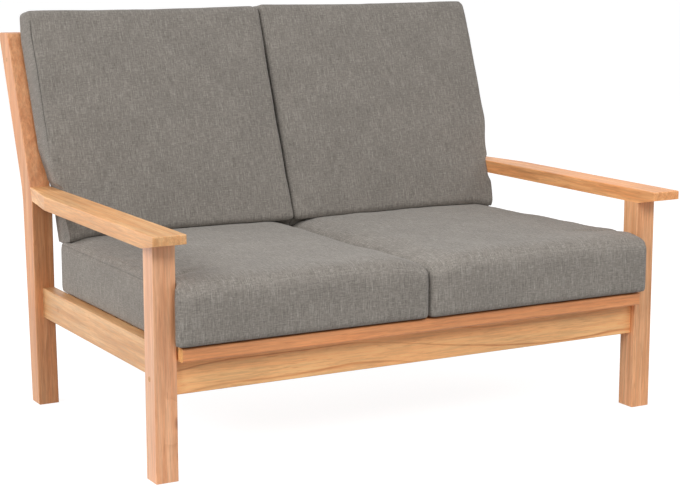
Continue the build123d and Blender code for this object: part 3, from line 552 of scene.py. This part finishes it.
def sew(piece, outer, level, depth, width, start, end):
    """Draws the cover in along the seam of its outer side, and marks the stretch where the seam shows."""
    points = points_of(piece.data)
    normals = points_of(piece.data, key="normal")
    side = smooth_step(normals[:, 0] * outer, 0.35, 0.6) * smooth_step(points[:, 1], start, end)
    near = np.exp(-(((points[:, 2] - level) / width) ** 2)) * side
    points[:, :2] -= normals[:, :2] * (depth * near)[:, None]
    set_points(piece.data, points)
    mark = piece.data.attributes.new("boxing", "FLOAT", "POINT")
    mark.data.foreach_set("value", side)


def lay_weave(piece):
    """Maps the weave onto the cover, panel by panel, in metres."""
    mesh = piece.data
    points = points_of(mesh)
    normals = np.abs(points_of(mesh, "polygons", "normal"))
    panel = normals.argmax(1)
    totals = np.empty(len(mesh.polygons), dtype=int)
    mesh.polygons.foreach_get("loop_total", totals)
    corners = np.empty(len(mesh.loops), dtype=int)
    mesh.loops.foreach_get("vertex_index", corners)
    panel = np.repeat(panel, totals)
    first = np.choose(panel, (1, 0, 0))
    second = np.choose(panel, (2, 2, 1))
    place = points[corners]
    rows = np.arange(len(corners))
    flat = np.stack((place[rows, first], place[rows, second]), 1)
    mesh.uv_layers.new(name="weave").data.foreach_set("uv", flat.ravel())


def into_place(piece, turn, origin):
    """Moves a cushion's points from its own frame into the loveseat's."""
    piece.data.transform(Matrix.Translation(origin) @ turn.to_4x4())
    piece.data.update()


def hold_in(value, limit, ease):
    """Value kept under a limit, and eased into it over a short stretch."""
    over = value - (limit - ease)
    return np.where(over > 0, limit - ease * np.exp(-np.maximum(over, 0) / ease), value)


def hold_sides(points, limit, rounding=0.003):
    """Holds a cushion's points in sideways, and rounds the place where the limit begins."""
    points[:, 0] = np.sign(points[:, 0]) * hold_in(np.abs(points[:, 0]), limit, rounding)


def proud_of_back(points):
    """How far points are in front of the leaning face of the posts."""
    return (points - np.array(BACK_ORIGIN)) @ BACK_FORWARD


def swell_of(fabric):
    return fabric.swell


def make_cover(node, size, sign, corners, rims, rise, under, squash, fabric, draw_in):
    """A cushion's cover, rounded, crowned and filled, centred on the origin with its thickness along Z.

    corners and rims are the left cushion's, so that left is outer, and the right cushion mirrors them. squash
    is how much flatter the outer far corner is, above and below.
    """
    corners, rims = np.array(corners), np.array(rims)
    if sign > 0:
        corners, rims = corners[::-1], rims[:, (1, 0, 2, 3)]
    swell = swell_of(fabric)
    body = Vector((size.x - swell, size.y - swell, size.z - rise - under - swell))
    half = np.array(body) / 2
    piece = block(f"{node}_cover", body, fabric.cover_mesh)
    points = crown(round_off(points_of(piece.data), half, corners, rims), half, rise, under, draw_in)
    u, v = (np.clip(points[:, i] * way / half[i], 0, 1) for i, way in ((0, sign), (1, 1)))
    points[:, 2] *= 1 - np.where(points[:, 2] > 0, *squash) * (u * v) ** 8
    set_points(piece.data, points)
    soften(piece)
    fill(piece, swell)
    refine(piece)
    return piece


def finish_cushion(piece, node, material):
    """Covers a cushion with its fabric, and hands it in for its CAD node."""
    piece.data.materials.append(material)
    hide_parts(node)
    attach(piece, node)


class LOVESEAT_OT_frame_finish(bpy.types.Operator):
    """Oils the hardwood of the legs, posts, arms, rails, slats and bearers"""

    bl_idname = "loveseat.frame_finish"
    bl_label = "Frame finish"

    def execute(self, context):
        settings = context.scene.loveseat_wood
        quarter = math.pi / 2
        across, deep, upright, raked = (0, 0, 0), (0, 0, -quarter), (0, quarter, 0), (LEAN, quarter, 0)
        knot = (-LEG_INNER, LEG_FRONT, 0.128)
        slats = [f"seat_slat_{i}" for i in range(1, 7)]
        back_slats = [f"back_slat_{i}" for i in range(1, 12)]
        finishes = (
            (("front_leg_left",), dict(
                turn=upright, shift=(0.7, 0.2, 0.0), tint=(1.08, 1.11, 1.16),
                pitch=0.021, lines=0.34, sway=0.10, thin=0.6, knot=knot)),
            (("front_leg_right",), dict(
                turn=upright, shift=(0.1, 0.6, 0.3), tint=(1.18, 1.24, 1.24),
                pitch=0.017, lines=0.40, sway=0.08, thin=0.6)),
            (("back_post_left", "back_post_right"), dict(
                turn=upright, shift=(0.35, 0.5, 0.3), tint=(0.91, 0.87, 0.80),
                pitch=0.030, lines=0.5, sway=0.22, thin=0.5)),
            (("arm_left",), dict(
                turn=deep, shift=(0.4, 0.0, 0.2), tint=(1.00, 1.10, 0.97),
                pitch=0.019, lines=0.45, sway=0.12, thin=0.6)),
            # The right arm's tint is lighter than the left arm's: painted light for its brightly lit inner face.
            (("arm_right",), dict(
                turn=deep, shift=(0.8, 0.4, 0.6), tint=(1.26, 1.19, 0.95),
                pitch=0.022, lines=0.40, sway=0.12, thin=0.6)),
            (("side_rail_left", "side_rail_right"), dict(
                turn=deep, shift=(0.9, 0.3, 0.1), tint=(0.91, 1.03, 0.93),
                pitch=0.026, lines=0.5, sway=0.20, thin=0.7)),
            (("front_apron",), dict(
                turn=across, shift=(0.25, 0.31, 0.12), tint=(1.40, 1.46, 1.26),
                pitch=0.021, lines=0.95, sway=0.13, thin=0.86, calm=0.4)),
            # The board's end faces are lighter yellow: partly end-grain colour, partly a painted highlight.
            (("front_seat_board",), dict(
                turn=across, shift=(0.6, 0.12, 0.5), tint=(1.07, 0.90, 0.72),
                pitch=0.015, lines=0.25, sway=0.06, thin=0.6, calm=0.5, ends=(1.0, 0.57, 0.22, 1))),
            (("rear_rail", "back_top_rail", "back_bottom_rail"), dict(
                turn=across, shift=(0.1, 0.7, 0.4), pitch=0.020, lines=0.6, sway=0.14, thin=0.6)),
            (slats, dict(
                turn=across, shift=(0.8, 0.35, 0.9), tint=(1.0, 1.0, 0.98),
                pitch=0.017, lines=0.5, sway=0.12, thin=0.6)),
            (back_slats, dict(
                turn=raked, shift=(0.2, 0.5, 0.3), pitch=0.014, lines=0.5, sway=0.08, thin=0.6)),
            (("side_bearer_left", "side_bearer_right", "centre_bearer"), dict(
                turn=deep, shift=(0.5, 0.1, 0.6), tint=(0.96, 0.96, 0.95),
                pitch=0.016, lines=0.5, sway=0.1, thin=0.6)),
        )
        for nodes, look in finishes:
            material = wood(f"hardwood_{nodes[0]}", settings, **look)
            for node in nodes:
                dress(node, material)
        return {"FINISHED"}


class LOVESEAT_OT_fittings(bpy.types.Operator):
    """Finishes the bolts, nuts, screws, plugs, dowels and glides"""

    bl_idname = "loveseat.fittings"
    bl_label = "Fittings"

    def execute(self, context):
        steel = plain("stainless_steel", (0.56, 0.56, 0.54, 1), rough=0.32, grit=700.0, spread=0.05, metallic=1.0)
        for node in ("long_bolts", "short_bolts", "barrel_nuts", "deck_screws", "bearer_screws"):
            dress(node, steel)
        dress("plugs", plain("brown_plug", (0.55, 0.27, 0.12, 1), rough=0.55, grit=400.0, spread=0.15))
        dress("dowels", plain("pale_dowel", (0.62, 0.40, 0.20, 1), rough=0.65, grit=300.0, spread=0.1))
        dress("glides", plain("nylon_glide", (0.02, 0.02, 0.02, 1), rough=0.5, grit=500.0, spread=0.2))
        return {"FINISHED"}


class LOVESEAT_OT_seat_cushions(bpy.types.Operator):
    """Makes the two seat cushions, filled, crowned and resting on the deck"""

    bl_idname = "loveseat.seat_cushions"
    bl_label = "Seat cushions"

    def execute(self, context):
        fabric, form = context.scene.loveseat_fabric, context.scene.loveseat_cushions
        fuller_front = 0.005
        corner, low_rim, side_rim = form.seat_corner, form.seat_bottom_rim, form.seat_side_rim
        corners = ((corner, 1.7 * corner), (0.8 * corner, 0.4 * corner))
        rims = ((low_rim, low_rim, low_rim + fuller_front, low_rim),
                (side_rim, form.seat_inner_rim, form.seat_front_rim, side_rim))
        # The right seat cushion is given lighter colours than the left: painted light for its more brightly lit
        # top.
        for side, sign, painted_light_tone in (("left", -1, 1.06), ("right", 1, 1.11)):
            node = f"seat_cushion_{side}"
            low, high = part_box(node)
            if sign < 0:
                low.x -= form.seat_bulge
            else:
                high.x += form.seat_bulge
            size, middle = high - low, (low + high) / 2
            piece = make_cover(node, size, sign, corners, rims, rise=form.seat_crown, under=0.0,
                               squash=(0.0, 0.0), fabric=fabric, draw_in=form.draw_in)
            fit_to(piece, -size / 2 - Vector((0, 0, swell_of(fabric))), size / 2)
            sew(piece, sign, SEAT_SEAM, depth=0.0010, width=0.004, start=-1.0, end=-0.9)
            lay_weave(piece)
            into_place(piece, Matrix.Identity(3), middle)
            self.shape_top(piece, sign, form.seat_crown, form.seat_inner_fall)
            self.squeeze(piece, form.seat_bulge)
            material = woven(f"fabric_seat_{side}", fabric, turn=(0, 0, 0), shift=tuple(-middle),
                             seam_level=SEAT_SEAM, seam_painted_shade=0.8, painted_light_tone=painted_light_tone)
            finish_cushion(piece, node, material)
        return {"FINISHED"}

    def shape_top(self, piece, sign, crown_height, inner_fall):
        """Fills the front, lets the inner edge and the outer ends fall, and adds the folds behind the leg."""
        front_fill, front_reach, inner_reach = 0.9, 0.15, 0.08
        rear_fall, brow_fall, fold_width = 0.007, 0.009, 0.012
        unevenness, wave = 0.0007, 0.09
        folds = ({"run": 0.14, "turn": 0.36, "depth": 0.0085}, {"run": 0.10, "turn": 0.95, "depth": 0.005})
        points = points_of(piece.data)
        upper = smooth_step(points[:, 2], SEAT_LOW.z + 0.06, SEAT_HIGH.z - 0.02)
        ahead = np.exp(-(((points[:, 1] - LEG_FRONT - 0.01) / front_reach) ** 2))
        room = np.clip((SEAT_HIGH.z - points[:, 2]) / crown_height, 0, 1)
        lift = front_fill * crown_height * ahead * room * upper
        outer = smooth_step(points[:, 0] * sign, LEG_INNER - 0.055, LEG_INNER + 0.004)
        rear = smooth_step(points[:, 1], SEAT_HIGH.y - 0.34, SEAT_HIGH.y - 0.20)
        brow = smooth_step(-points[:, 1], -SEAT_LOW.y - 0.07, -SEAT_LOW.y)
        fall = inner_fall * (1.25 - 0.45 * smooth_step(points[:, 1], LEG_FRONT, LEG_FRONT + 0.5))
        lift -= fall * (1 - smooth_step(np.abs(points[:, 0]), 0.0, inner_reach)) * upper
        lift -= (rear_fall * rear + brow_fall * brow) * outer * upper
        start = np.array((sign * LEG_INNER, LEG_BACK + 0.004))
        for fold in folds:
            along = np.array((-sign * math.cos(fold["turn"]), math.sin(fold["turn"])))
            away = points[:, :2] - start
            far = away @ along
            off = away @ np.array((-along[1], along[0]))
            reach = smooth_step(-np.abs(far - fold["run"] * 0.3), -fold["run"], 0.0)
            lift -= fold["depth"] * upper * np.exp(-((off / fold_width) ** 2)) * reach
        points[:, 2] += lift + relief(points, 11 + sign, unevenness, wave) * upper - unevenness * upper
        set_points(piece.data, points)

    def squeeze(self, piece, bulge):
        """Holds a cushion in between the front legs, and flat on the deck but for a raised front."""
        front_raise = 0.004
        points = points_of(piece.data)
        behind = smooth_step(points[:, 1], LEG_BACK + 0.002, LEG_BACK + 0.040)
        ahead = smooth_step(-points[:, 1], CLEAR - LEG_FRONT, 0.022 - LEG_FRONT)
        rear = smooth_step(points[:, 1], SEAT_HIGH.y - 0.16, SEAT_HIGH.y)
        hold_sides(points, LEG_INNER - CLEAR + bulge * np.maximum(behind, ahead) * (1 - 0.5 * rear))
        lip = front_raise * smooth_step(-points[:, 1], -SEAT_LOW.y - 0.05, -SEAT_LOW.y - 0.03)
        points[:, 2] = np.maximum(points[:, 2], SEAT_LOW.z + CLEAR + lip)
        set_points(piece.data, points)


class LOVESEAT_OT_back_cushions(bpy.types.Operator):
    """Makes the two back cushions, leaning on the back and settled on the seat cushions"""

    bl_idname = "loveseat.back_cushions"
    bl_label = "Back cushions"

    def execute(self, context):
        fabric, form = context.scene.loveseat_fabric, context.scene.loveseat_cushions
        untilt = BACK_TURN.transposed()
        sides = (
            ("left", -1, {"shorter": 0.004, "wider": 0.0, "low_outer": 0.024, "high_inner": 0.020}),
            ("right", 1, {"shorter": 0.001, "wider": 0.009, "low_outer": 0.036, "high_inner": 0.014}),
        )
        rear_rim, low_rim, high_rim = form.back_rear_rim, 0.020, 0.019
        rims = ((rear_rim,) * 4, (form.back_outer_rim, form.back_inner_rim, low_rim, high_rim))
        low_inner, longer_below = 0.015, 0.010
        for side, sign, own in sides:
            node = f"back_cushion_{side}"
            corners = points_of(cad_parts[node].data)
            local = (corners - np.array(BACK_ORIGIN)) @ np.array(BACK_TURN)
            low, high = Vector(local.min(0)), Vector(local.max(0))
            low.y -= longer_below
            high.y -= own["shorter"]
            high.x += own["wider"]
            size, middle = high - low, (low + high) / 2
            rounds = ((own["low_outer"], form.back_corner), (low_inner, own["high_inner"]))
            piece = make_cover(node, size, sign, rounds, rims, rise=form.back_crown, under=0.005,
                               squash=(0.35, 0.05), fabric=fabric, draw_in=form.draw_in)
            fit_to(piece, -size / 2, size / 2)
            seam = size.z / 2 - form.back_crown - BACK_SEAM_DEPTH
            sew(piece, sign, seam, depth=0.0012, width=0.004, start=-0.12, end=0.02)
            lay_weave(piece)
            self.shape_brim(piece, sign, size)
            centre = BACK_ORIGIN + BACK_TURN @ middle
            into_place(piece, BACK_TURN, centre)
            self.squeeze(piece)
            self.settle(piece, bpy.data.objects[f"seat_cushion_{side}_cover"])
            # The back cushions are given darker colours than the seats: painted shade for their less lit leaning
            # fronts.
            material = woven(f"fabric_back_{side}", fabric, turn=tuple(untilt.to_euler("XYZ")),
                             shift=tuple(-(untilt @ centre)), seam_level=seam, seam_painted_shade=0.5, painted_light_tone=0.91)
            finish_cushion(piece, node, material)
        return {"FINISHED"}

    def shape_brim(self, piece, sign, size):
        """Makes the face a little uneven, and raises the rear top edge and draws its outer end in."""
        brim_rise, brim_draw, brim_reach = 0.014, 0.007, 0.07
        unevenness, wave = 0.0007, 0.11
        points = points_of(piece.data)
        points[:, 2] += relief(points, 31 + sign, unevenness, wave) * smooth_step(points[:, 2], 0, 0.04)
        brim = smooth_step(points[:, 1], size.y / 2 - brim_reach, size.y / 2)
        brim *= smooth_step(-points[:, 2], -0.035, size.z / 2 - 0.01)
        points[:, 1] += brim_rise * brim
        points[:, 0] -= brim_draw * brim * smooth_step(points[:, 0] * sign, 0, size.x / 2) * sign
        set_points(piece.data, points)

    def squeeze(self, piece):
        """Holds a cushion in between the arms, in front of the posts and against the back slats."""
        slat_depth, low_room, flare, front_flare = 0.0115, 0.0065, 0.024, 0.009
        points = points_of(piece.data)
        proud, height = proud_of_back(points), points[:, 2]
        ease = 0.3 + 0.7 * smooth_step(proud, 0.015, 0.075)
        rear = 1 - smooth_step(proud, 0.010, 0.070)
        if points[:, 0].mean() < 0:
            step, flare_start, flare_end, rear_draw = 0.0155 * ease, 0.004, 0.13, 0.009 * rear
        else:
            step, flare_start, flare_end, rear_draw = 0.009, 0.03, 0.15, 0
        above = smooth_step(height, ARM_HIGH.z + CLEAR, ARM_HIGH.z + 0.018)
        higher = smooth_step(height, ARM_HIGH.z + flare_start, ARM_HIGH.z + flare_end)
        below = smooth_step(-height, CLEAR - ARM_LOW.z, 0.020 - ARM_LOW.z)
        below -= 0.8 * smooth_step(-height, 0.012 - ARM_LOW.z, -BACK_LOW.z) * smooth_step(proud, 0.02, 0.09)
        limit = LEG_INNER - CLEAR + step * above + (flare + front_flare * ease - step) * higher
        limit += (low_room - rear_draw) * below
        hold_sides(points, limit)
        wide = smooth_step(np.abs(points[:, 0]), LEG_INNER - 0.014, LEG_INNER - 0.001)
        least = -slat_depth + (slat_depth + CLEAR) * wide
        points += np.maximum(least - proud, 0)[:, None] * BACK_FORWARD
        set_points(piece.data, points)

    def settle(self, piece, seat):
        """Lets the underside hang behind its front edge, and presses it flat onto the seat cushion."""
        inner_hang, outer_hang, outer_rear_hang = 0.022, 0.008, 0.010
        reach, edge, inner_reach, outer_reach = 0.014, 0.0015, 0.08, 0.06
        tree = BVHTree.FromPolygons(
            [v.co for v in seat.data.vertices], [p.vertices[:] for p in seat.data.polygons])
        points = points_of(piece.data)
        top = SEAT_HIGH.z + reach
        inner = 1 - smooth_step(np.abs(points[:, 0]), 0.0, inner_reach)
        outer = smooth_step(np.abs(points[:, 0]), LEG_INNER - outer_reach, LEG_INNER)
        proud = proud_of_back(points)
        deep = smooth_step(proud[points[:, 2] < top].max() - proud, 0.020, 0.050)
        drop = inner_hang * inner * deep + (outer_hang + outer_rear_hang * deep) * outer
        points[:, 2] -= drop * smooth_step(-points[:, 2], -top - 0.09, -top)
        for index in np.nonzero(points[:, 2] < top)[0]:
            x, y, z = points[index]
            hit = tree.ray_cast(Vector((x, y, top + 0.05)), Vector((0, 0, -1)))[0]
            rest = max(hit.z if hit else 0, BACK_LOW.z - drop[index]) + CLEAR
            points[index, 2] = rest + edge * math.log1p(math.exp(min((z - rest) / edge, 60)))
        set_points(piece.data, points)


class LOVESEAT_OT_stage(bpy.types.Operator):
    """Sets up the floor, the soft lights and the camera"""

    bl_idname = "loveseat.stage"
    bl_label = "Stage"

    def execute(self, context):
        settings = context.scene.loveseat_stage
        scene = context.scene
        shape = bmesh.new()
        bmesh.ops.create_grid(shape, x_segments=1, y_segments=1, size=settings.floor_size / 2)
        mesh = bpy.data.meshes.new("floor")
        shape.to_mesh(mesh)
        shape.free()
        floor = bpy.data.objects.new("floor", mesh)
        scene.collection.objects.link(floor)
        mesh.materials.append(self.floor_material())
        for name, spot, size, power in (
                ("key", (-4.4, -2.2, 3.9), 3.2, settings.key_power),
                ("rim", (-4.0, 2.6, 1.8), 3.0, settings.rim_power),
                ("front", (-1.0, -4.8, 3.6), 1.6, settings.front_power),
                ("right", (3.6, -2.6, 2.8), 3.0, settings.right_power),
                ("top", (0.6, -1.4, 4.6), 2.0, settings.top_power)):
            self.soft_light(name, spot, size, power)
        world = bpy.data.worlds.new("studio")
        scene.world = world
        world.use_nodes = True
        tree = world.node_tree
        tree.nodes.clear()
        out = tree.nodes.new("ShaderNodeOutputWorld")
        strength = ramp(tree, self.seen(tree), 0.0, 1.0, settings.sky, 1.0)
        back = add(tree, "ShaderNodeBackground", None, {"Color": (1, 1, 1, 1), "Strength": strength})
        tree.links.new(back.outputs[0], out.inputs["Surface"])
        data = bpy.data.cameras.new("camera")
        data.lens = settings.camera_lens
        data.sensor_width = 36
        data.clip_end = 200
        camera = bpy.data.objects.new("camera", data)
        scene.collection.objects.link(camera)
        camera.location = settings.camera_place
        camera.rotation_euler = (math.pi / 2 - settings.camera_dip, 0, settings.camera_turn)
        scene.camera = camera
        scene.view_settings.view_transform = "Standard"
        return {"FINISHED"}

    def seen(self, tree):
        """One for rays that the camera sees directly, in a gloss or through glass."""
        rays = tree.nodes.new("ShaderNodeLightPath")
        either = calc(tree, "MAXIMUM", rays.outputs["Is Camera Ray"], rays.outputs["Is Glossy Ray"])
        return calc(tree, "MAXIMUM", either, rays.outputs["Is Transmission Ray"])

    def floor_material(self):
        """A pale floor that stays white round the loveseat and keeps its shadow."""
        material = bpy.data.materials.new("pale_floor")
        material.use_nodes = True
        tree = material.node_tree
        tree.nodes.clear()
        out = tree.nodes.new("ShaderNodeOutputMaterial")
        matt = add(tree, "ShaderNodeBsdfDiffuse", None, {"Color": (0.42, 0.42, 0.42, 1)})
        faint = add(tree, "ShaderNodeBsdfDiffuse", None, {"Color": (0.34, 0.34, 0.34, 1)})
        glow = add(tree, "ShaderNodeEmission", None, {"Color": (1, 1, 1, 1), "Strength": 0.90})
        both = add(tree, "ShaderNodeAddShader", None, {0: faint.outputs[0], 1: glow.outputs[0]})
        mixed = add(tree, "ShaderNodeMixShader", None, {0: self.seen(tree), 1: matt.outputs[0], 2: both.outputs[0]})
        tree.links.new(mixed.outputs[0], out.inputs["Surface"])
        return material

    def soft_light(self, name, spot, size, power):
        """A round soft lamp that faces the middle of the loveseat."""
        middle = Vector((0, 0, 0.4))
        data = bpy.data.lights.new(name, "AREA")
        data.shape = "DISK"
        data.size = size
        data.energy = power
        lamp = bpy.data.objects.new(name, data)
        bpy.context.scene.collection.objects.link(lamp)
        lamp.location = spot
        lamp.rotation_euler = (middle - Vector(spot)).to_track_quat("-Z", "Y").to_euler()


GROUPS = {
    "loveseat_wood": LoveseatWood,
    "loveseat_fabric": LoveseatFabric,
    "loveseat_cushions": LoveseatCushions,
    "loveseat_stage": LoveseatStage,
}
OPERATORS = (LOVESEAT_OT_frame_finish, LOVESEAT_OT_fittings, LOVESEAT_OT_seat_cushions,
             LOVESEAT_OT_back_cushions, LOVESEAT_OT_stage)


class LOVESEAT_PT_sidebar(bpy.types.Panel):
    """Sizes, colours and making of the loveseat"""

    bl_idname = "LOVESEAT_PT_sidebar"
    bl_label = "Patio loveseat"
    bl_space_type = "VIEW_3D"
    bl_region_type = "UI"
    bl_category = "Loveseat"

    def draw(self, context):
        for operator in OPERATORS:
            self.layout.operator(operator.bl_idname)
        for group in GROUPS:
            settings = getattr(context.scene, group)
            box = self.layout.box()
            for name in settings.bl_rna.properties.keys():
                if name not in {"rna_type", "name"}:
                    box.prop(settings, name)


def register():
    for item in (*GROUPS.values(), *OPERATORS, LOVESEAT_PT_sidebar):
        bpy.utils.register_class(item)
    for name, group in GROUPS.items():
        setattr(bpy.types.Scene, name, bpy.props.PointerProperty(type=group))


def unregister():
    for name in reversed(GROUPS):
        delattr(bpy.types.Scene, name)
    for item in reversed((*GROUPS.values(), *OPERATORS, LOVESEAT_PT_sidebar)):
        bpy.utils.unregister_class(item)


def main():
    register()
    bpy.ops.loveseat.frame_finish()
    bpy.ops.loveseat.fittings()
    bpy.ops.loveseat.seat_cushions()
    bpy.ops.loveseat.back_cushions()
    bpy.ops.loveseat.stage()


if __name__ == "__main__":
    main()
